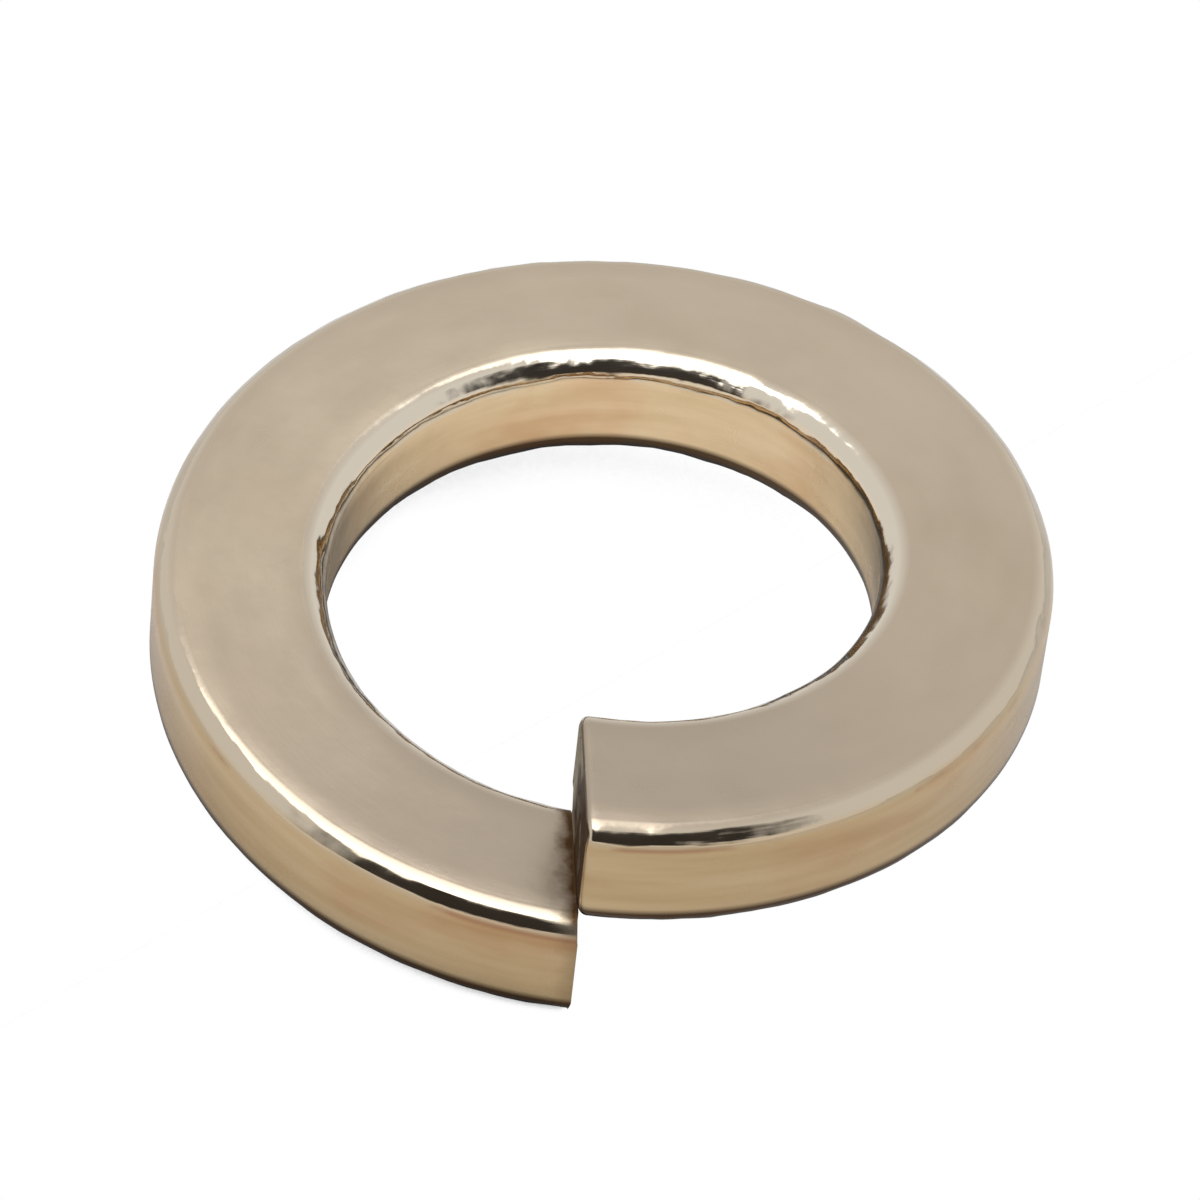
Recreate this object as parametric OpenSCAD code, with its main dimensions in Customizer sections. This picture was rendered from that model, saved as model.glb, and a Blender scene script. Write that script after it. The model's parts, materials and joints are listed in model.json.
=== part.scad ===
// Spring lock washer: one turn of rounded rectangular wire, coiled left-handed and cut through
// by a shear, so that its two ends stand apart in height. The axis is Z, the washer lies on
// Z = 0 with its low end, and the split is on the -Y side.

/* [Ring] */
// Inside diameter, clear over the bolt
bore_d = 16.5; // [16.2:0.1:17.4]
// Radial width of the wire section
section_w = 5.2; // [4.6:0.1:6]
// Thickness of the wire section, halfway between bore and rim
section_t = 4.0; // [3.4:0.1:4.6]
// Height of the free, uncompressed washer over both ends
free_height = 8.1; // [7:0.1:9.6]

/* [Section] */
// How much thicker coiling leaves the section at the bore than at the rim
keystone = 0.12; // [0:0.01:0.4]
// Radius of the two long edges at the bore
bore_edge_r = 0.85; // [0.4:0.05:1.1]
// Radius of the two long edges at the rim
rim_edge_r = 0.7; // [0.3:0.05:1]

/* [Split] */
// Width of the gap between the two sheared ends
gap_w = 0.15; // [0.05:0.05:1]
// Angle by which the shear missed the radial direction
cut_skew = 6.5; // [-12:0.5:12]

/* [Hidden] */
// Steps of the coil along its one turn
slices = 96;
// Facets along each rounded edge
edge_facets = 5;
// Angle between a rounded edge and the wall where the two meet
wall_entry = 10;
// How far the untrimmed coil reaches past its true walls
overrun = 0.4;
bore_r = bore_d / 2;
rim_r = bore_r + section_w;
mid_r = (bore_r + rim_r) / 2;
bore_t = section_t + keystone / 2;
rim_t = section_t - keystone / 2;
rise = free_height - bore_t;

// Rounded quarter of the section in the upper half, as [radius, height above mid thickness].
// wall_r is the wall that the quarter ends at, and side is 1 at the rim and -1 at the bore.
// The last point carries the section past the wall, at the height where the rounding ends.
function quarter(wall_r, edge_r, half_t, side) =
    let (
        centre_r = wall_r - side * edge_r,
        centre_z = half_t - edge_r,
        arc = [
            for (i = [0 : edge_facets])
                let (a = 90 - (90 - wall_entry) * i / edge_facets)
                [centre_r + side * edge_r * cos(a), centre_z + edge_r * sin(a)]
        ]
    )
    concat(arc, [[wall_r + side * overrun, arc[edge_facets][1]]]);

function reversed(list) = [for (i = [len(list) - 1 : -1 : 0]) list[i]];
function flipped(list) = [for (p = list) [p[0], -p[1]]];

// Whole section, once round, from the upper bore edge over the rim and back underneath
section =
    let (
        bore_quarter = quarter(bore_r, bore_edge_r, bore_t / 2, -1),
        rim_quarter = quarter(rim_r, rim_edge_r, rim_t / 2, 1)
    )
    concat(reversed(bore_quarter), rim_quarter,
           reversed(flipped(rim_quarter)), flipped(bore_quarter));

// Turn, in degrees clockwise from the -Y side, at which radius r meets a plane along the
// split, side being how far that plane lies from the middle of the gap
function split_turn(r, side = 0) = asin((mid_r * sin(cut_skew) + side) / r) - cut_skew;

// Turn that half the gap takes from the low end, where its underside is lowest
lost_turn =
    let (lowest_r = bore_r + bore_edge_r)
    split_turn(lowest_r, gap_w / 2) - split_turn(lowest_r);

// Height of the middle of the wire, t degrees past the middle of the split
function wire_z(t) = bore_t / 2 + rise * (t - lost_turn) / (360 - 2 * lost_turn);

// One turn of the section, closed by a flat face at either end in the middle of the split
module coil() {
    count = len(section);
    points = [
        for (i = [0 : slices])
            for (p = section)
                let (past = 360 * i / slices, t = split_turn(p[0]) + past)
                [-p[0] * sin(t), -p[0] * cos(t), wire_z(past) + p[1]]
    ];
    sides = [
        for (i = [0 : slices - 1])
            for (j = [0 : count - 1])
                let (a = i * count + j, b = i * count + (j + 1) % count)
                [a, b, b + count, a + count]
    ];
    low_end = [for (j = [count - 1 : -1 : 0]) j];
    high_end = [for (j = [0 : count - 1]) slices * count + j];
    polyhedron(points, concat(sides, [low_end, high_end]), convexity = 6);
}

// Slot that the shear leaves, through the wire on the -Y side
module split() {
    reach = section_w + 4 * overrun;
    translate([0, -mid_r, free_height / 2])
        rotate([0, 0, cut_skew])
            cube([gap_w, reach, free_height + 2], center = true);
}

// Cylinder on the washer's axis that reaches past it above and below
module through_cylinder(r) {
    translate([0, 0, -1])
        cylinder(h = free_height + 2, r = r, $fn = 256);
}

module lock_washer() {
    color([0.71, 0.65, 0.57])
        difference() {
            intersection() {
                difference() {
                    coil();
                    split();
                }
                through_cylinder(rim_r);
            }
            through_cylinder(bore_r);
        }
}

lock_washer();
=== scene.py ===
"""Looks of the spring lock washer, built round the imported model.

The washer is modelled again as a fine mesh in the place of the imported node: its wire section is
drawn once, swept along the turn, sheared at both ends and given its plated finish. Lengths named
in millimetres are turned into the scene's metres where the mesh is made.
"""

import json
import logging
import math
from collections.abc import Callable
from dataclasses import dataclass, field
from enum import Enum

import bmesh
import bpy
from mathutils import Matrix, Vector

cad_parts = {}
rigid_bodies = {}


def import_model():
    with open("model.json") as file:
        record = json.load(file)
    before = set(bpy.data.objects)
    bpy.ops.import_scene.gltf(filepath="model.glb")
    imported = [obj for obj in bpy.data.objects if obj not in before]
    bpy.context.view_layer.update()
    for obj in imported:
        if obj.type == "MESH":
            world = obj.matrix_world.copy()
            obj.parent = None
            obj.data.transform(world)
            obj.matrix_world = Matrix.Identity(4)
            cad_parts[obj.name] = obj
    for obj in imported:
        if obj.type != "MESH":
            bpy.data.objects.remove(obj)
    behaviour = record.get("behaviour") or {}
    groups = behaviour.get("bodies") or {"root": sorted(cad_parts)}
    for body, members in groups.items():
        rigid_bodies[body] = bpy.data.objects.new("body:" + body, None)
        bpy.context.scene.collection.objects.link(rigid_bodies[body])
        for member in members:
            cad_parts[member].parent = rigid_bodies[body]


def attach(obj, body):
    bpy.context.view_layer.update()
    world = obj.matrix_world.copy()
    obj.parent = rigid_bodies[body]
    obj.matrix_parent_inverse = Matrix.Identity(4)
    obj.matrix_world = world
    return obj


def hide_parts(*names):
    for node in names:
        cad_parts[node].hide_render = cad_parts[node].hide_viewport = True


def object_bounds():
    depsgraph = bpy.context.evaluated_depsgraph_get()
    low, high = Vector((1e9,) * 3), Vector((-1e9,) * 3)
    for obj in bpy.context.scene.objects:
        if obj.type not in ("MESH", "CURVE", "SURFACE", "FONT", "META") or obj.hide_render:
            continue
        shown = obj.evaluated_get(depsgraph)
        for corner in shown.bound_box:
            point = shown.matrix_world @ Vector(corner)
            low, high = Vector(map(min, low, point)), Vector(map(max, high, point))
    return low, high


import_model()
CAD_LOW, CAD_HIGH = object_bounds()

MM = 0.001
NODE = "lock_washer"
BODY = "root"
SLOT = "plated_spring_steel"

# How square to the split a face has to be to count as sheared.
SQUARE = 0.99
# Angles round the small edge of a sheared end at which the skin is cut into slices.
EDGE_ANGLES = (72, 54, 36, 18, 0)

log = logging.getLogger("washer")

Tone = tuple[float, float, float, float]
Pair = tuple[float, float]
VertexTest = Callable[[bmesh.types.BMVert], bool]


class Zone(Enum):
    """Vertex attributes that tell the finish which part of the wire it is on."""

    WIRE = "wire"
    LEAN = "lean"
    CUT = "cut"


class End(Enum):
    """The two sheared ends of the turn, each with the side of the split's middle it is on."""

    LOW = 1
    HIGH = -1


def srgb(red: int, green: int, blue: int) -> Tone:
    """Turns a colour as seen on a screen into the renderer's linear colour.

    Args:
        red: Red, 0 to 255.
        green: Green, 0 to 255.
        blue: Blue, 0 to 255.

    Returns:
        The linear colour with an alpha of 1.
    """
    def linear(value: int) -> float:
        """Undoes the screen's curve for one channel."""
        part = value / 255
        return part / 12.92 if part <= 0.04045 else ((part + 0.055) / 1.055) ** 2.4

    return (linear(red), linear(green), linear(blue), 1.0)


def select_only(piece: bpy.types.Object) -> None:
    """Makes one object the only selected and the active one."""
    bpy.ops.object.select_all(action="DESELECT")
    piece.select_set(True)
    bpy.context.view_layer.objects.active = piece


@dataclass(frozen=True)
class WireSection:
    """Rounded rectangular section of the wire, in millimetres.

    Args:
        width: Radial width.
        bore_thickness: Thickness at the bore.
        rim_thickness: Thickness at the rim.
        bore_edge: Radius of the two edges at the bore.
        rim_edge: Radius of the two edges at the rim.
    """

    width: float
    bore_thickness: float
    rim_thickness: float
    bore_edge: float = 0.85
    rim_edge: float = 0.7


class NodeSheet:
    """Short way to lay out the nodes of a material or of the world.

    Args:
        owner: The material or world whose nodes are laid out.
    """

    def __init__(self, owner: bpy.types.Material | bpy.types.World) -> None:
        """Starts with an empty node tree."""
        owner.use_nodes = True
        self.tree = owner.node_tree
        self.tree.nodes.clear()

    def add(self, kind: str, **settings: object) -> bpy.types.Node:
        """Adds a node.

        Args:
            kind: The node's type name.
            settings: Properties to set on it.

        Returns:
            The new node.
        """
        node = self.tree.nodes.new(kind)
        for name, value in settings.items():
            setattr(node, name, value)
        return node

    def link(self, source: bpy.types.NodeSocket, target: bpy.types.NodeSocket) -> None:
        """Links an output to an input."""
        self.tree.links.new(source, target)

    def attribute(self, name: str) -> bpy.types.Node:
        """Reads one of the mesh's own attributes."""
        return self.add("ShaderNodeAttribute", attribute_name=name)

    def noise(self, vector: bpy.types.NodeSocket, stretch: tuple[float, float, float],
              detail: float = 3.0, roughness: float = 0.55) -> bpy.types.NodeSocket:
        """Lays noise over a vector.

        Args:
            vector: The coordinates that the noise reads.
            stretch: Noise cells for each unit along each axis.
            detail: Layers of finer noise.
            roughness: Strength of the finer layers.

        Returns:
            The noise value, about 0.5 in the middle.
        """
        place = self.add("ShaderNodeMapping")
        place.inputs["Scale"].default_value = stretch
        self.link(vector, place.inputs["Vector"])
        cells = self.add("ShaderNodeTexNoise")
        cells.inputs["Scale"].default_value = 1.0
        cells.inputs["Detail"].default_value = detail
        cells.inputs["Roughness"].default_value = roughness
        self.link(place.outputs["Vector"], cells.inputs["Vector"])
        return cells.outputs["Fac"]

    def bump(self, height: bpy.types.NodeSocket, depth: float, strength: float,
             below: bpy.types.NodeSocket | None = None) -> bpy.types.NodeSocket:
        """Turns a height into relief.

        Args:
            height: The height, 0 to 1.
            depth: What a height of 1 stands for, in millimetres.
            strength: Share of the relief that shows.
            below: Relief that this one lies on.

        Returns:
            The bent normal.
        """
        node = self.add("ShaderNodeBump")
        node.inputs["Strength"].default_value = strength
        node.inputs["Distance"].default_value = depth * MM
        self.link(height, node.inputs["Height"])
        if below is not None:
            self.link(below, node.inputs["Normal"])
        return node.outputs["Normal"]

    def span(self, value: bpy.types.NodeSocket, low: float, high: float,
             to_low: float = 0.0, to_high: float = 1.0) -> bpy.types.NodeSocket:
        """Maps one range of a value onto another, held at both ends."""
        node = self.add("ShaderNodeMapRange", clamp=True)
        node.inputs["From Min"].default_value = low
        node.inputs["From Max"].default_value = high
        node.inputs["To Min"].default_value = to_low
        node.inputs["To Max"].default_value = to_high
        self.link(value, node.inputs["Value"])
        return node.outputs["Result"]

    def parts(self, vector: bpy.types.NodeSocket) -> tuple[bpy.types.NodeSocket, ...]:
        """Takes a vector apart into its three values."""
        node = self.add("ShaderNodeSeparateXYZ")
        self.link(vector, node.inputs["Vector"])
        return tuple(node.outputs)

    def along(self, way: bpy.types.NodeSocket,
              axis: tuple[float, float, float]) -> bpy.types.NodeSocket:
        """Measures how far a direction points along an axis, -1 to 1."""
        node = self.add("ShaderNodeVectorMath", operation="DOT_PRODUCT")
        node.inputs[1].default_value = axis
        self.link(way, node.inputs[0])
        return node.outputs["Value"]

    def show(self, shader: bpy.types.NodeSocket, output: str) -> None:
        """Hands the finished shader to an output node of the given type."""
        node = self.add(output)
        self.link(shader, node.inputs["Surface"])

    def maths(self, operation: str, first: bpy.types.NodeSocket,
              second: bpy.types.NodeSocket | float) -> bpy.types.NodeSocket:
        """Joins two values by one sum."""
        node = self.add("ShaderNodeMath", operation=operation)
        self.link(first, node.inputs[0])
        if isinstance(second, float):
            node.inputs[1].default_value = second
        else:
            self.link(second, node.inputs[1])
        return node.outputs["Value"]

    def blend(self, share: bpy.types.NodeSocket, first: bpy.types.NodeSocket | Tone,
              second: bpy.types.NodeSocket | Tone, mode: str = "MIX") -> bpy.types.NodeSocket:
        """Mixes two colours, each a linear colour or an output.

        Args:
            share: How much of the second there is.
            first: The colour at a share of 0.
            second: The colour at a share of 1.
            mode: The mixing mode.

        Returns:
            The mixed colour.
        """
        node = self.add("ShaderNodeMix", data_type="RGBA", blend_type=mode)
        self.link(share, node.inputs["Factor"])
        for value, socket in ((first, node.inputs[6]), (second, node.inputs[7])):
            if isinstance(value, tuple):
                socket.default_value = value
            else:
                self.link(value, socket)
        return node.outputs[2]


class WireMarks:
    """What the mesh tells the finish about each point of the wire.

    Holds the coordinates along, across and through the wire in millimetres, the lean (0 on the
    flat faces, 1 on the walls, between them on the rounded edges) and the cut (1 on the sheared
    ends, and a ramp on the low end's skin by the burr that carries painted shadow), and two zones
    made of them: outer (1 at the rim) and bare (1 on the sheared ends only).

    Args:
        sheet: The material's node sheet.
    """

    def __init__(self, sheet: NodeSheet) -> None:
        """Reads the vertex attributes."""
        self.wire = sheet.attribute(Zone.WIRE.value).outputs["Vector"]
        self.lean = sheet.attribute(Zone.LEAN.value).outputs["Fac"]
        self.cut = sheet.attribute(Zone.CUT.value).outputs["Fac"]
        self.along, self.across, self.through = sheet.parts(self.wire)
        self.outer = sheet.span(self.across, -0.5, 0.5)
        self.bare = sheet.span(self.cut, 0.85, 1.0)


@dataclass(frozen=True)
class PlatedSteel:
    """Bright plate over spring steel: grey-beige faces, golden walls, tumbled edges.

    Args:
        face: Tone of the two flat faces.
        face_cloud: Tone of the faces where the plate is duller.
        face_end_shade: Painted shade: a darker tone of the faces close to the split, standing in
            for their darker reflection there.
        wall: Tone of the bore's wall, kept lighter than the rim's as a painted reflection of the
            bright floor it mirrors.
        rim: Tone of the rim's wall, kept darker than the bore's as painted shade.
        wall_cloud: Tint of the walls where the plate is darker.
        wall_warm_reflection: Painted reflection: a warm tint laid on the walls in random patches,
            standing in for warm surroundings that the walls mirror.
        edge: Tone of the rounded edges at the bore.
        rim_edge: Tone of the rounded edges at the rim.
        bore_edge_glint: Painted highlight: a broken light line between the rounded edge and the
            bore's wall.
        rim_edge_reflection: Painted reflection: the same broken line at the rim, in a dark orange.
        underside_shade: Painted shade: a dark brown on the lower rounded edges, standing in for
            the reflection of the shadowed floor under the washer.
        split_shade: Painted shadow on the low end's skin beside the burr, a dark brown that stands
            in for the shade in the split.
        cut: Tone of the sheared ends where the blade burnished them.
        cut_torn: Tone of the sheared ends where they tore.
        end_shade_low: Places along the wire between which the painted shade on the low end's face
            fades out.
        end_shade_high: Places along the wire between which the painted shade on the high end's
            face grows in.
        shade_line_depths: Depths below the middle of the wire at which the painted shade of the
            lower edges begins and is full.
        shade_line_drop: How much lower that painted shade begins at the rim.
        shade_line_share: How much of the plate that painted shade covers.
        edge_reflection_share: How much of the plate the painted edge line covers.
        matt: How much of the metal's shine the sheared ends keep.
        satin: Least and greatest roughness of the plate.
        polish: How much smoother tumbling left the rounded edges.
        roughened: How much rougher the shear left its ends.
        drawing_lines: Depth of the drawing lines in millimetres, and the share that shows.
        dents: The same for the small dents of the plate.
        knocks: The same for the knocks on the rounded edges.
        tracks: The same for the tracks that the shear left.
    """

    face: Tone = srgb(184, 170, 150)
    face_cloud: Tone = srgb(176, 161, 141)
    # Painted shade on the faces near the split.
    face_end_shade: Tone = srgb(167, 153, 136)
    # Painted light: the bore's wall is lighter and the rim's darker, for what each wall mirrors.
    wall: Tone = srgb(248, 222, 182)
    rim: Tone = srgb(204, 179, 142)
    wall_cloud: Tone = (0.82, 0.76, 0.66, 1.0)
    # Painted reflection of warm surroundings on the walls.
    wall_warm_reflection: Tone = (0.9, 0.74, 0.68, 1.0)
    edge: Tone = srgb(207, 197, 181)
    rim_edge: Tone = srgb(194, 181, 161)
    # Painted highlight at the bore and painted reflection at the rim, along the line between edge
    # and wall.
    bore_edge_glint: Tone = srgb(232, 222, 204)
    rim_edge_reflection: Tone = srgb(158, 112, 84)
    # Painted shade on the lower rounded edges.
    underside_shade: Tone = srgb(54, 29, 6)
    # Painted shadow of the split, on the low end's skin beside the burr.
    split_shade: Tone = srgb(84, 60, 36)
    cut: Tone = srgb(150, 140, 120)
    cut_torn: Tone = srgb(58, 38, 20)
    end_shade_low: Pair = (16.0, 4.0)
    end_shade_high: Pair = (52.0, 64.0)
    shade_line_depths: Pair = (-0.92, -1.14)
    shade_line_drop: float = 0.12
    shade_line_share: float = 0.92
    edge_reflection_share: float = 0.6
    matt: float = 0.15
    satin: Pair = (0.27, 0.36)
    polish: float = 0.2
    roughened: float = 0.4
    drawing_lines: Pair = (0.025, 0.08)
    dents: Pair = (0.07, 0.2)
    knocks: Pair = (0.12, 0.6)
    tracks: Pair = (0.12, 0.6)

    def skin(self, sheet: NodeSheet, marks: WireMarks) -> bpy.types.NodeSocket:
        """Lays out the plated skin: clouded faces, darker near the split as painted shade, plain
        edges, and streaked walls with painted warm reflections and painted light between bore and
        rim.

        Args:
            sheet: The material's node sheet.
            marks: What the mesh tells of the wire.

        Returns:
            The colour of the skin.
        """
        clouds = sheet.span(sheet.noise(marks.wire, (0.17, 0.27, 0.27), 4.0), 0.35, 0.68)
        streaks = sheet.span(sheet.noise(marks.wire, (0.12, 1.2, 1.2), 4.0), 0.32, 0.72)
        # Painted reflection: random warm patches on the walls.
        warm_reflection_patches = sheet.span(sheet.noise(marks.wire, (0.2, 0.3, 0.3), 3.0), 0.5, 0.7, 0.0, 0.7)
        # Painted shade: the faces darken towards both ends at the split.
        end_shade = sheet.maths("MAXIMUM", sheet.span(marks.along, *self.end_shade_low),
                              sheet.span(marks.along, *self.end_shade_high))
        face = sheet.blend(end_shade, sheet.blend(clouds, self.face, self.face_cloud), self.face_end_shade)
        # Painted light: the walls' tones differ between bore and rim for what each mirrors.
        side = sheet.blend(marks.outer, self.wall, self.rim)
        drawn = sheet.blend(streaks, side, self.wall_cloud, "MULTIPLY")
        flank = sheet.blend(warm_reflection_patches, drawn, self.wall_warm_reflection, "MULTIPLY")
        rounded = sheet.blend(marks.outer, self.edge, self.rim_edge)
        to_edge = sheet.blend(sheet.span(marks.lean, 0.02, 0.3), face, rounded)
        return sheet.blend(sheet.span(marks.lean, 0.6, 0.92), to_edge, flank)

    def painted_edge_reflection(self, sheet: NodeSheet, marks: WireMarks,
                     under: bpy.types.NodeSocket) -> bpy.types.NodeSocket:
        """Lays a painted reflection over a colour: a broken line between rounded edge and wall,
        light at the bore and dark orange at the rim.

        Args:
            sheet: The material's node sheet.
            marks: What the mesh tells of the wire.
            under: The colour that it lies on.

        Returns:
            The colour with the painted line.
        """
        # Painted reflection: a broken light and dark band where the rounded edge meets the wall.
        band = sheet.maths("MULTIPLY", sheet.span(marks.lean, 0.78, 0.86),
                           sheet.span(marks.lean, 0.99, 0.9))
        broken = sheet.span(sheet.noise(marks.wire, (0.35, 0.55, 0.55), 4.0), 0.48, 0.58)
        share = sheet.maths("MULTIPLY", sheet.maths("MULTIPLY", band, broken), self.edge_reflection_share)
        return sheet.blend(share, under, sheet.blend(marks.outer, self.bore_edge_glint, self.rim_edge_reflection))

    def painted_shade_line(self, sheet: NodeSheet, marks: WireMarks,
                  under: bpy.types.NodeSocket) -> bpy.types.NodeSocket:
        """Lays painted shade over a colour: a dark tone on the lower rounded edges that stands in
        for the reflection of the shadowed floor under the washer.

        Args:
            sheet: The material's node sheet.
            marks: What the mesh tells of the wire.
            under: The colour that it lies on.

        Returns:
            The colour with the painted shade.
        """
        # Painted shade: darker below the middle of the wire, on the lower rounded edges.
        depth = sheet.maths("ADD", marks.through,
                            sheet.maths("MULTIPLY", marks.outer, self.shade_line_drop))
        below = sheet.maths("MULTIPLY", sheet.span(depth, *self.shade_line_depths),
                            sheet.span(marks.lean, 0.1, 0.3))
        return sheet.blend(sheet.maths("MULTIPLY", below, self.shade_line_share), under, self.underside_shade)

    def shade_beside_split(self, sheet: NodeSheet, marks: WireMarks,
               under: bpy.types.NodeSocket) -> bpy.types.NodeSocket:
        """Lays painted shadow over a colour: a ragged dark brown on the low end's skin beside the
        burr, standing in for the shade in the split.

        Args:
            sheet: The material's node sheet.
            marks: What the mesh tells of the wire.
            under: The colour that it lies on.

        Returns:
            The colour with the painted shadow.
        """
        # Painted shadow: dark brown on the low end's skin beside the burr, where the split lies in
        # shade.
        uneven = sheet.span(sheet.noise(marks.wire, (1.6, 1.6, 1.6), 3.0), 0.3, 0.7, -0.24, 0.12)
        ragged = sheet.maths("ADD", marks.cut, uneven)
        share = sheet.maths("MULTIPLY", sheet.span(ragged, 0.12, 0.66),
                            sheet.span(marks.lean, 0.8, 0.3, 0.25, 1.0))
        return sheet.blend(share, under, self.split_shade)

    def sheared(self, sheet: NodeSheet, marks: WireMarks) -> bpy.types.NodeSocket:
        """Lays out the bare steel of the sheared ends, torn more towards the rim.

        Args:
            sheet: The material's node sheet.
            marks: What the mesh tells of the wire.

        Returns:
            The colour of the bare steel.
        """
        tear = sheet.maths("ADD", sheet.noise(marks.wire, (0.8, 0.7, 0.7), 4.0),
                           sheet.span(marks.across, -2.2, 0.2, -0.25, 0.25))
        return sheet.blend(sheet.span(tear, 0.36, 0.64), self.cut, self.cut_torn)

    def colour(self, sheet: NodeSheet, marks: WireMarks) -> bpy.types.NodeSocket:
        """Lays the colours over each other, from the plated skin to the bare ends.

        Args:
            sheet: The material's node sheet.
            marks: What the mesh tells of the wire.

        Returns:
            The finished colour.
        """
        edge_reflected = self.painted_edge_reflection(sheet, marks, self.skin(sheet, marks))
        shade_lined = self.painted_shade_line(sheet, marks, edge_reflected)
        split_shaded = self.shade_beside_split(sheet, marks, shade_lined)
        return sheet.blend(marks.bare, split_shaded, self.sheared(sheet, marks))

    def gloss(self, sheet: NodeSheet, marks: WireMarks) -> bpy.types.NodeSocket:
        """Lays out the roughness: satin faces, polished edges and rough ends.

        Args:
            sheet: The material's node sheet.
            marks: What the mesh tells of the wire.

        Returns:
            The roughness.
        """
        uneven = sheet.noise(marks.wire, (0.45, 0.85, 0.85), 5.0)
        satin = sheet.span(uneven, 0.3, 0.7, *self.satin)
        polish = sheet.maths("MULTIPLY", sheet.span(marks.lean, 0.03, 0.25),
                             sheet.span(marks.lean, 1.0, 0.85, 0.35, 1.0))
        bright = sheet.maths("SUBTRACT", satin, sheet.maths("MULTIPLY", polish, self.polish))
        return sheet.maths("ADD", bright, sheet.maths("MULTIPLY", marks.cut, self.roughened))

    def relief(self, sheet: NodeSheet, marks: WireMarks) -> bpy.types.NodeSocket:
        """Lays out the fine relief: drawing lines, dents, knocks on the edges, the shear's tracks.

        Args:
            sheet: The material's node sheet.
            marks: What the mesh tells of the wire.

        Returns:
            The bent normal.
        """
        drawn = sheet.bump(sheet.noise(marks.wire, (0.12, 11.0, 11.0), 2.0), *self.drawing_lines)
        dents = sheet.bump(sheet.noise(marks.wire, (0.9, 0.9, 0.9), 3.0), *self.dents, drawn)
        rounded = sheet.maths("MULTIPLY", sheet.span(marks.lean, 0.0, 0.35),
                              sheet.span(marks.lean, 1.0, 0.7))
        hit = sheet.maths("MULTIPLY", rounded, sheet.span(marks.outer, 0.0, 1.0, 1.0, 0.6))
        knocks = sheet.maths("MULTIPLY", sheet.noise(marks.wire, (0.6, 0.9, 0.9), 2.0), hit)
        worn = sheet.bump(knocks, *self.knocks, dents)
        tracks = sheet.maths("MULTIPLY", sheet.noise(marks.wire, (1.0, 7.0, 0.9), 4.0),
                             sheet.span(marks.cut, 0.7, 1.0))
        return sheet.bump(tracks, *self.tracks, worn)

    def material(self) -> bpy.types.Material:
        """Builds the finish.

        Returns:
            The new material.
        """
        finish = bpy.data.materials.new(SLOT)
        sheet = NodeSheet(finish)
        marks = WireMarks(sheet)
        metal = sheet.add("ShaderNodeBsdfPrincipled")
        for socket, value in (
            ("Metallic", sheet.span(marks.bare, 0.0, 1.0, 1.0, self.matt)),
            ("Specular IOR Level", sheet.span(marks.bare, 0.0, 1.0, 0.5, 0.1)),
            ("Base Color", self.colour(sheet, marks)),
            ("Roughness", self.gloss(sheet, marks)),
            ("Normal", self.relief(sheet, marks)),
        ):
            sheet.link(value, metal.inputs[socket])
        sheet.show(metal.outputs["BSDF"], "ShaderNodeOutputMaterial")
        return finish


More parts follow.
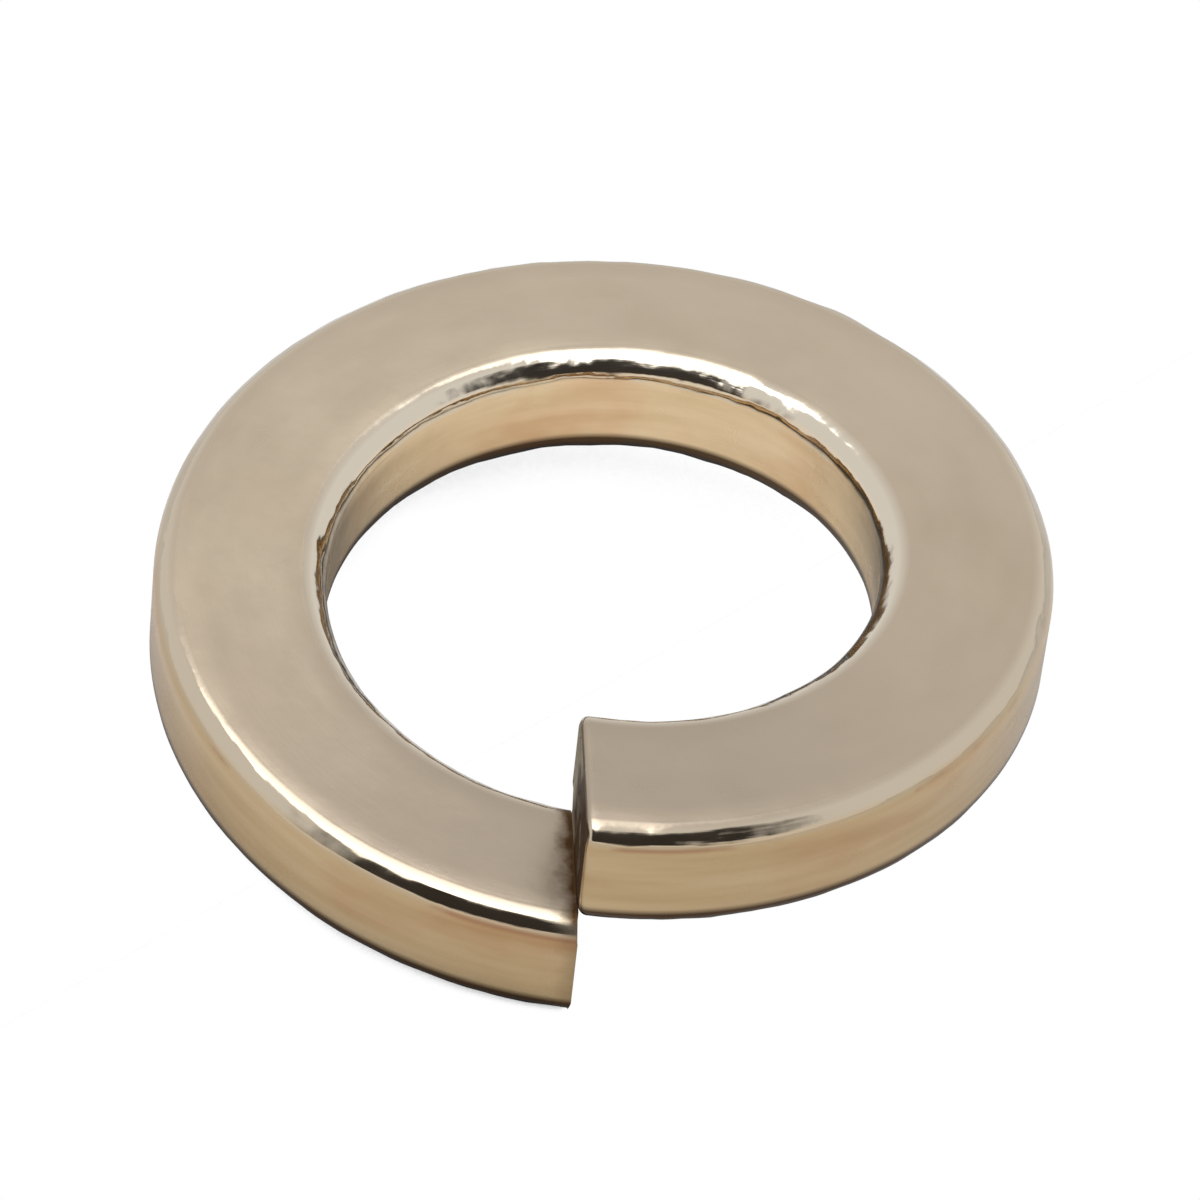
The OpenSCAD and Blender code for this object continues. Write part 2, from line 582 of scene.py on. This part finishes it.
@dataclass
class Washer:
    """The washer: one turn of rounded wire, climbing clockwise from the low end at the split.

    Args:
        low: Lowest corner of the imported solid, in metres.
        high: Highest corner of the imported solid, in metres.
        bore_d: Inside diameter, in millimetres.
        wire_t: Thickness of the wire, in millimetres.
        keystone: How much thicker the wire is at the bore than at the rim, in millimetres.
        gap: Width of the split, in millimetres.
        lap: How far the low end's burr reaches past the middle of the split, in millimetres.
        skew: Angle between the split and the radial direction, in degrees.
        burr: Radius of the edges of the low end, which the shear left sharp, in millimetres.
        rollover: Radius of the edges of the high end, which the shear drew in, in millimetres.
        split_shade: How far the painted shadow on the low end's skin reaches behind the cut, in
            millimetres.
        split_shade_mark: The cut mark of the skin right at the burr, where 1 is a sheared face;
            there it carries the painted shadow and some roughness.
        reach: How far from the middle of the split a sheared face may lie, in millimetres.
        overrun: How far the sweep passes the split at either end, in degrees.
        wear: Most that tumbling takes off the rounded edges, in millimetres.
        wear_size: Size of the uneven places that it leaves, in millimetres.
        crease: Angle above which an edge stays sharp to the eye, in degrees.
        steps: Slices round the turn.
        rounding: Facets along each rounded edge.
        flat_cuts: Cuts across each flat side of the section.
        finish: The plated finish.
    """

    low: Vector
    high: Vector
    bore_d: float = 16.5
    wire_t: float = 4.0
    keystone: float = 0.12
    gap: float = 0.15
    lap: float = 0.08
    skew: float = 6.5
    burr: float = 0.04
    rollover: float = 0.24
    split_shade: float = 0.8
    split_shade_mark: float = 0.8
    reach: float = 0.12
    overrun: float = 5.0
    wear: float = 0.14
    wear_size: float = 1.5
    crease: float = 40.0
    steps: int = 288
    rounding: int = 9
    flat_cuts: int = 5
    finish: PlatedSteel = field(default_factory=PlatedSteel)

    def __post_init__(self) -> None:
        """Works out the radii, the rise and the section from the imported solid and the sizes."""
        self.bore_r = self.bore_d / 2
        self.rim_r = (self.high.x - self.low.x) / 2 / MM
        self.mid_r = (self.bore_r + self.rim_r) / 2
        self.section = WireSection(
            width=self.rim_r - self.bore_r,
            bore_thickness=self.wire_t + self.keystone / 2,
            rim_thickness=self.wire_t - self.keystone / 2,
        )
        self.rise = (self.high.z - self.low.z) / MM - self.section.bore_thickness
        lowest_r = self.bore_r + self.section.bore_edge
        self.lost_turn = self.split_turn(lowest_r, self.gap / 2) - self.split_turn(lowest_r)

    def split_turn(self, radius: float, side: float = 0.0) -> float:
        """Turn from the -Y side at which a radius meets a plane along the split.

        Args:
            radius: Distance from the axis, in millimetres.
            side: Distance of the plane from the middle of the gap, in millimetres.

        Returns:
            The turn, in degrees clockwise from above.
        """
        reach = self.mid_r * math.sin(math.radians(self.skew)) + side
        return math.degrees(math.asin(reach / radius)) - self.skew

    def wire_z(self, past: float) -> float:
        """Height of the middle of the wire, in millimetres, some degrees past the split."""
        share = (past - self.lost_turn) / (360 - 2 * self.lost_turn)
        return self.section.bore_thickness / 2 + self.rise * share

    def draw_section(self) -> bpy.types.Object:
        """Draws the section's outline a little before the low end of the wire.

        Returns:
            The outline, an object with edges and no face.
        """
        bpy.ops.object.select_all(action="DESELECT")
        bpy.ops.mesh.primitive_plane_add(size=1.0, location=(0.0, 0.0, 0.0))
        piece = bpy.context.active_object
        piece.name = "washer_wire"
        bpy.ops.object.mode_set(mode="EDIT")
        bpy.ops.mesh.select_all(action="SELECT")
        bpy.ops.transform.resize(
            value=(self.section.width * MM, self.section.bore_thickness * MM, 1.0))
        self.taper_rim(piece)
        for at_bore, radius in ((True, self.section.bore_edge), (False, self.section.rim_edge)):
            self.pick(piece, lambda v: (v.co.x < 0) == at_bore)
            bpy.ops.mesh.bevel(offset=radius * MM, offset_type="OFFSET",
                               segments=self.rounding, profile=0.5, affect="VERTICES")
        bpy.ops.mesh.select_mode(type="FACE")
        bpy.ops.mesh.select_all(action="SELECT")
        bpy.ops.mesh.delete(type="ONLY_FACE")
        bpy.ops.mesh.select_mode(type="EDGE")
        self.split_flats(piece)
        bpy.ops.object.mode_set(mode="OBJECT")
        upright = Matrix.Rotation(math.radians(90), 4, "X")
        place = Matrix.Translation((self.mid_r * MM, 0.0, self.wire_z(-self.overrun) * MM))
        face_split = Matrix.Rotation(math.radians(-90 + self.overrun), 4, "Z")
        piece.data.transform(face_split @ place @ upright)
        return piece

    def taper_rim(self, piece: bpy.types.Object) -> None:
        """Thins the rim side of the section's rectangle."""
        self.pick(piece, lambda v: v.co.x > 0)
        thin = self.section.rim_thickness / self.section.bore_thickness
        bpy.ops.transform.resize(value=(1.0, thin, 1.0))

    def split_flats(self, piece: bpy.types.Object) -> None:
        """Cuts the long straight edges of the outline into short ones."""
        mesh = bmesh.from_edit_mesh(piece.data)
        for edge in mesh.edges:
            edge.select = edge.calc_length() > self.section.rim_edge * MM
        bmesh.update_edit_mesh(piece.data)
        bpy.ops.mesh.subdivide(number_cuts=self.flat_cuts)

    def pick(self, piece: bpy.types.Object, wanted: VertexTest) -> None:
        """Selects the vertices for which wanted is true."""
        bpy.ops.mesh.select_mode(type="VERT")
        bpy.ops.mesh.select_all(action="DESELECT")
        mesh = bmesh.from_edit_mesh(piece.data)
        for vertex in mesh.verts:
            vertex.select = wanted(vertex)
        mesh.select_flush_mode()
        bmesh.update_edit_mesh(piece.data)

    def coil(self, piece: bpy.types.Object) -> None:
        """Sweeps the section once round the axis while it climbs, and marks it for the finish."""
        outline = len(piece.data.vertices)
        select_only(piece)
        sweep = piece.modifiers.new("turn", "SCREW")
        sweep.axis = "Z"
        sweep.angle = math.radians(-360 - 2 * self.overrun)
        climb = self.wire_z(360 + self.overrun) - self.wire_z(-self.overrun)
        sweep.screw_offset = climb * MM
        sweep.steps = self.steps
        sweep.render_steps = self.steps
        sweep.use_merge_vertices = False
        bpy.ops.object.modifier_apply(modifier=sweep.name)
        self.mark_wire(piece.data, outline)

    def mark_wire(self, mesh: bpy.types.Mesh, outline: int) -> None:
        """Stores where each vertex lies along, across and through the wire, and its lean.

        Args:
            mesh: The coiled wire, ring after ring from before the low end.
            outline: Vertices in one ring.
        """
        mesh.attributes.new(Zone.WIRE.value, "FLOAT_VECTOR", "POINT")
        mesh.attributes.new(Zone.LEAN.value, "FLOAT", "POINT")
        wire, lean = (mesh.attributes[zone.value].data for zone in (Zone.WIRE, Zone.LEAN))
        last = len(mesh.vertices) // outline - 1
        for vertex in mesh.vertices:
            ring = vertex.index // outline
            turn = (360 + 2 * self.overrun) * ring / last - self.overrun
            spot = vertex.co / MM
            laid_out = Vector((math.radians(turn) * self.mid_r,
                               math.hypot(spot.x, spot.y) - self.mid_r,
                               spot.z - self.wire_z(turn)))
            wire[vertex.index].vector = laid_out
            lean[vertex.index].value = self.lean(laid_out)

    def past_split(self, spot: Vector) -> float:
        """How far a point lies past the middle of the split, towards the high end.

        Args:
            spot: The point, in millimetres.

        Returns:
            The distance in millimetres, less than nothing towards the low end.
        """
        return (spot - Vector((0.0, -self.mid_r, 0.0))).dot(self.cut_normal())

    def cut_normal(self) -> Vector:
        """Direction square to the split, from the low end to the high end."""
        angle = math.radians(self.skew)
        return Vector((math.cos(angle), math.sin(angle), 0.0))

    def behind(self, spot: Vector, end: End) -> float:
        """How far a point lies behind the cut of one end, in millimetres.

        Args:
            spot: The point, in metres.
            end: Which end.
        """
        past = self.past_split(spot / MM)
        return self.lap - past if end is End.LOW else past

    def shear(self, piece: bpy.types.Object, end: End, edge: float) -> None:
        """Cuts one end along the split, draws its skin in and closes it with a flat face.

        Args:
            piece: The coiled wire.
            end: Which end to cut.
            edge: Radius that the cut leaves on the edges of the end, in millimetres.
        """
        bpy.ops.object.mode_set(mode="EDIT")
        self.slice(piece, end, 0.0, True)
        for angle in EDGE_ANGLES:
            self.slice(piece, end, edge * (1 - math.sin(math.radians(angle))), False)
        mesh = bmesh.from_edit_mesh(piece.data)
        mesh.normal_update()
        away = self.cut_normal()
        for vertex in filter(self.belongs(mesh, end), mesh.verts):
            depth = self.behind(vertex.co, end)
            if vertex.co.y < 0 and depth < edge:
                inward = away * vertex.normal.dot(away) - vertex.normal
                vertex.co += inward.normalized() * self.drawn_in(depth, edge) * MM
        bmesh.update_edit_mesh(piece.data)
        self.pick_boundary(piece, end)
        bpy.ops.mesh.edge_face_add()
        bpy.ops.object.mode_set(mode="OBJECT")

    def drawn_in(self, depth: float, edge: float) -> float:
        """How far the skin is drawn in at a depth behind the cut, in millimetres."""
        return edge - math.sqrt(max(0.0, edge ** 2 - (edge - max(0.0, depth)) ** 2))

    def belongs(self, mesh: bmesh.types.BMesh, end: End) -> VertexTest:
        """Makes the test of whether a vertex is on one end's half of the wire."""
        layer = mesh.verts.layers.float_vector[Zone.WIRE.value]
        half = math.pi * self.mid_r
        return lambda vertex: (half - vertex[layer].x) * end.value > 0

    def pick_boundary(self, piece: bpy.types.Object, end: End) -> None:
        """Selects the open outline of one end."""
        on_end = self.belongs(bmesh.from_edit_mesh(piece.data), end)
        self.pick(piece, lambda v: v.is_boundary and on_end(v))

    def slice(self, piece: bpy.types.Object, end: End, depth: float, cut_off: bool) -> None:
        """Cuts one end's region along a plane beside the split.

        Args:
            piece: The coiled wire, in edit mode.
            end: Which end.
            depth: How far behind the end's cut the plane lies, in millimetres.
            cut_off: Whether what lies past the plane goes.
        """
        away = self.cut_normal()
        past = self.lap - depth if end is End.LOW else depth
        point = Vector((0.0, -self.mid_r, 0.0)) + away * past
        self.pick_boundary(piece, end)
        for _ in range(round(self.steps * 3 * self.overrun / 360)):
            bpy.ops.mesh.select_more()
        bpy.ops.mesh.bisect(
            plane_co=tuple(point * MM), plane_no=tuple(away), use_fill=False,
            clear_inner=cut_off and end is End.HIGH, clear_outer=cut_off and end is End.LOW,
            threshold=1e-8)

    def mark_cut(self, mesh: bpy.types.Mesh) -> None:
        """Stores how far the shear marked each vertex: the ends, and a ramp on the low end's skin
        by the burr that carries painted shadow and some roughness.
        """
        mesh.attributes.new(Zone.CUT.value, "FLOAT", "POINT")
        wire, cut = (mesh.attributes[zone.value].data for zone in (Zone.WIRE, Zone.CUT))
        for vertex in mesh.vertices:
            depth = self.behind(vertex.co, End.LOW)
            # A ramp on the low end's skin behind the burr, which carries painted shadow.
            if wire[vertex.index].vector.x < self.mid_r and depth < self.split_shade:
                cut[vertex.index].value = self.split_shade_mark * (1 - max(0.0, depth) / self.split_shade)
        for face in mesh.polygons:
            middle = face.center
            at_split = middle.y < 0 and abs(self.past_split(middle / MM)) < self.reach
            if at_split and abs(face.normal.dot(self.cut_normal())) > SQUARE:
                for index in face.vertices:
                    cut[index].value = 1.0

    def lean(self, spot: Vector) -> float:
        """How far the surface leans over at a point of the section.

        Args:
            spot: The point's place along, across and through the wire, in millimetres.

        Returns:
            0 on the flat faces, 1 on the walls, and between them on the rounded edges.
        """
        at_bore = spot.y < 0
        corner = self.section.bore_edge if at_bore else self.section.rim_edge
        thick = self.section.bore_thickness if at_bore else self.section.rim_thickness
        out = abs(spot.y) - (self.section.width / 2 - corner)
        up = abs(spot.z) - (thick / 2 - corner)
        if out <= 0:
            return 0.0
        return 1.0 if up <= 0 else math.atan2(out, up) / math.radians(90)

    def tumble(self, piece: bpy.types.Object) -> None:
        """Wears the rounded edges a little unevenly, always inwards."""
        edges = piece.vertex_groups.new(name="edges")
        for index, lean in enumerate(piece.data.attributes[Zone.LEAN.value].data):
            edges.add([index], 1 - abs(2 * lean.value - 1), "REPLACE")
        select_only(piece)
        pattern = bpy.data.textures.new("tumbling", "CLOUDS")
        pattern.noise_scale = self.wear_size * MM
        wear = piece.modifiers.new("tumbling", "DISPLACE")
        wear.texture = pattern
        wear.vertex_group = edges.name
        wear.strength = self.wear * MM
        wear.mid_level = 1.0
        bpy.ops.object.modifier_apply(modifier=wear.name)
        piece.vertex_groups.clear()

    def build(self) -> bpy.types.Object:
        """Models the washer and dresses it.

        Returns:
            The finished piece.
        """
        piece = self.draw_section()
        self.coil(piece)
        self.shear(piece, End.LOW, self.burr)
        self.shear(piece, End.HIGH, self.rollover)
        select_only(piece)
        bpy.ops.object.mode_set(mode="EDIT")
        bpy.ops.mesh.select_all(action="SELECT")
        bpy.ops.mesh.normals_make_consistent(inside=False)
        bpy.ops.object.mode_set(mode="OBJECT")
        self.tumble(piece)
        self.mark_cut(piece.data)
        bpy.ops.object.shade_smooth_by_angle(angle=math.radians(self.crease))
        flats = piece.modifiers.new("flats", "WEIGHTED_NORMAL")
        flats.keep_sharp = True
        bpy.ops.object.modifier_apply(modifier=flats.name)
        piece.data.materials.clear()
        piece.data.materials.append(self.finish.material())
        return piece


@dataclass
class Studio:
    """Floor, surroundings, lamp and camera.

    Args:
        low: Lowest corner of the washer, in metres.
        high: Highest corner of the washer, in metres.
        elevation: Height of the camera above the horizon, in degrees.
        azimuth: Turn of the camera round the washer, in degrees.
        roll: Lean of the picture, in degrees.
        lens: Focal length, in millimetres.
        fill: Share of the picture's width that the washer takes.
        floor_size: Length of the floor's sides, in metres.
        floor_drop: How far the floor lies below the washer, in millimetres.
        shadow_reach: How far round the washer the floor grows darker, in millimetres.
        open_floor: Openness of the floor between which it turns from shadow to pale.
        clear_floor: Openness of the floor between which the eye comes to see plain white.
        floor_glow: How much of that white is added where metal mirrors the floor.
        shadow: Tone of the floor under the washer.
        pale: Tone of the open floor.
        white: Tone of the white walls, and of the floor to the eye.
        dim: Light that the walls throw on what isn't shiny.
        dark: Tone of the room's dark side.
        second: Tone of the room in reflections of reflections.
        front: How far to the front the dark side begins and is full, -1 to 1.
        foot: How far up the dark side begins and is full, -1 to 1.
        head: How far up the dark side ends and is still full.
        right: How far to the right its white opening begins and is full.
        lintel: How far up the opening ends and is still full.
        box_height: Height of the soft box above the horizon, in degrees.
        box_distance: Its distance from the middle of the frame, in metres.
        box_shift: How far it is moved along X from there, in metres.
        box_size: Its width and height, in metres.
        box_power: Its power, in watts.
    """

    low: Vector
    high: Vector
    elevation: float = 45.0
    azimuth: float = -0.5
    roll: float = 6.5
    lens: float = 250.0
    fill: float = 0.745
    floor_size: float = 4.0
    floor_drop: float = 0.01
    shadow_reach: float = 5.0
    open_floor: Pair = (0.4, 0.75)
    clear_floor: Pair = (0.1, 0.22)
    floor_glow: float = 0.06
    shadow: Tone = (0.02, 0.02, 0.02, 1.0)
    pale: Tone = (0.88, 0.88, 0.88, 1.0)
    white: Tone = (1.0, 1.0, 1.0, 1.0)
    dim: Tone = (0.5, 0.5, 0.5, 1.0)
    dark: Tone = (0.05, 0.045, 0.042, 1.0)
    second: Tone = (0.04, 0.035, 0.03, 1.0)
    front: Pair = (0.4, 0.7)
    foot: Pair = (0.1, 0.22)
    head: Pair = (0.87, 0.77)
    right: Pair = (0.5, 0.66)
    lintel: Pair = (0.55, 0.42)
    box_height: float = 86.5
    box_distance: float = 0.6
    box_shift: float = -0.2
    box_size: Pair = (0.6, 0.66)
    box_power: float = 2.45

    def aim(self, azimuth: float, elevation: float) -> Vector:
        """Direction from the washer.

        Args:
            azimuth: Degrees round from the -Y side towards +X.
            elevation: Degrees above the horizon.

        Returns:
            The unit vector.
        """
        turn, height = math.radians(azimuth), math.radians(elevation)
        return Vector((math.sin(turn) * math.cos(height),
                       -math.cos(turn) * math.cos(height), math.sin(height)))

    def floor(self) -> bpy.types.Object:
        """Lays the pale floor under the washer, white to the eye but for the close shadows.

        Returns:
            The floor.
        """
        bpy.ops.object.select_all(action="DESELECT")
        bpy.ops.mesh.primitive_plane_add(
            size=self.floor_size, location=(0.0, 0.0, self.low.z - self.floor_drop * MM))
        ground = bpy.context.active_object
        ground.name = "floor"
        white = bpy.data.materials.new("floor_white")
        sheet = NodeSheet(white)
        matt = sheet.add("ShaderNodeBsdfDiffuse")
        glow = sheet.add("ShaderNodeEmission")
        glow.inputs["Color"].default_value = self.white
        near = sheet.add("ShaderNodeAmbientOcclusion", samples=12)
        near.inputs["Distance"].default_value = self.shadow_reach * MM
        open_sky = near.outputs["AO"]
        sheet.link(sheet.blend(sheet.span(open_sky, *self.open_floor), self.shadow, self.pale),
                   matt.inputs["Color"])
        seen, shiny = self.paths(sheet)
        direct = sheet.maths("MULTIPLY", seen, sheet.span(open_sky, *self.clear_floor))
        mirrored = sheet.maths("MULTIPLY", shiny, self.floor_glow)
        mix = sheet.add("ShaderNodeMixShader")
        sheet.link(sheet.maths("MAXIMUM", direct, mirrored), mix.inputs["Fac"])
        sheet.link(matt.outputs["BSDF"], mix.inputs[1])
        sheet.link(glow.outputs["Emission"], mix.inputs[2])
        sheet.show(mix.outputs["Shader"], "ShaderNodeOutputMaterial")
        ground.data.materials.append(white)
        return ground

    def paths(self, sheet: NodeSheet) -> tuple[bpy.types.NodeSocket, bpy.types.NodeSocket]:
        """Tells rays straight from the eye from rays by way of something shiny or clear.

        Args:
            sheet: The node sheet of the floor or the world.

        Returns:
            1 for rays from the eye, and 1 for rays by way of metal or glass.
        """
        path = sheet.add("ShaderNodeLightPath")
        return path.outputs["Is Camera Ray"], sheet.maths(
            "MAXIMUM", path.outputs["Is Glossy Ray"], path.outputs["Is Transmission Ray"])

    def dark_side(self, sheet: NodeSheet, way: bpy.types.NodeSocket) -> bpy.types.NodeSocket:
        """Works out how much of the room's dark side lies in a direction.

        Args:
            sheet: The world's node sheet.
            way: The direction.

        Returns:
            1 in the middle of the dark side, 0 on the white walls.
        """
        height = sheet.parts(way)[2]
        level = sheet.add("ShaderNodeVectorMath", operation="MULTIPLY")
        level.inputs[1].default_value = (1.0, 1.0, 0.0)
        sheet.link(way, level.inputs[0])
        unit = sheet.add("ShaderNodeVectorMath", operation="NORMALIZE")
        sheet.link(level.outputs["Vector"], unit.inputs[0])
        to_front = sheet.span(sheet.along(unit.outputs["Vector"], (0.0, -1.0, 0.0)), *self.front)
        to_right = sheet.span(sheet.along(unit.outputs["Vector"], (1.0, 0.0, 0.0)), *self.right)
        between = sheet.maths("MULTIPLY", sheet.span(height, *self.foot),
                              sheet.span(height, *self.head))
        opened = sheet.maths("MULTIPLY", sheet.span(height, *self.lintel), to_right)
        kept = sheet.span(opened, 0.0, 1.0, 1.0, 0.0)
        return sheet.maths("MULTIPLY", sheet.maths("MULTIPLY", to_front, between), kept)

    def surroundings(self) -> None:
        """Sets the white room, whose dark side is at the front and open low on the right."""
        world = bpy.data.worlds.new("studio")
        bpy.context.scene.world = world
        sheet = NodeSheet(world)
        way = sheet.add("ShaderNodeTexCoord").outputs["Generated"]
        room = sheet.blend(self.dark_side(sheet, way), self.white, self.dark)
        seen, shiny = self.paths(sheet)
        depth = sheet.add("ShaderNodeLightPath").outputs["Glossy Depth"]
        again = sheet.span(depth, 1.0, 2.0, 0.0, 0.75)
        plain = sheet.blend(seen, self.dim, self.white)
        light = sheet.add("ShaderNodeBackground")
        sheet.link(sheet.blend(shiny, plain, sheet.blend(again, room, self.second)),
                   light.inputs["Color"])
        sheet.show(light.outputs["Background"], "ShaderNodeOutputWorld")

    def soft_box(self) -> None:
        """Hangs the soft box nearly straight above the washer, facing down."""
        light = bpy.data.lights.new("top_box", "AREA")
        light.shape = "RECTANGLE"
        light.size, light.size_y = self.box_size
        light.energy = self.box_power
        lamp = bpy.data.objects.new("top_box", light)
        bpy.context.scene.collection.objects.link(lamp)
        away = self.aim(0.0, self.box_height)
        lamp.location = away * self.box_distance + Vector((self.box_shift, 0.0, 0.0))
        lamp.rotation_mode = "QUATERNION"
        lamp.rotation_quaternion = away.to_track_quat("Z", "Y")

    def camera(self) -> None:
        """Sets the camera at the picture's own angle, with the washer filling the frame."""
        data = bpy.data.cameras.new("camera")
        data.lens = self.lens
        data.sensor_width = 36.0
        data.clip_start = 1 * MM
        data.clip_end = 10.0
        eye = bpy.data.objects.new("camera", data)
        bpy.context.scene.collection.objects.link(eye)
        back = self.aim(self.azimuth, self.elevation)
        width = (self.high.x - self.low.x) / self.fill
        distance = width * self.lens / data.sensor_width
        eye.location = (self.low + self.high) / 2 + back * distance
        eye.rotation_mode = "QUATERNION"
        level = back.to_track_quat("Z", "Y").to_matrix().to_4x4()
        lean = Matrix.Rotation(math.radians(self.roll), 4, "Z")
        eye.rotation_quaternion = (level @ lean).to_quaternion()
        bpy.context.scene.camera = eye

    def build(self) -> None:
        """Sets the whole stage."""
        self.camera()
        self.surroundings()
        self.floor()
        self.soft_box()
        bpy.context.scene.view_settings.view_transform = "Standard"


def report(piece: bpy.types.Object) -> None:
    """Writes what a finished piece holds to the log."""
    log.info("%s: %d vertices, %d faces", piece.name, len(piece.data.vertices),
             len(piece.data.polygons))


def main() -> None:
    logging.basicConfig(level=logging.INFO, format="%(name)s: %(message)s")
    Studio(CAD_LOW, CAD_HIGH).build()
    washer = Washer(CAD_LOW, CAD_HIGH).build()
    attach(washer, BODY)
    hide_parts(NODE)
    report(washer)


if __name__ == "__main__":
    main()
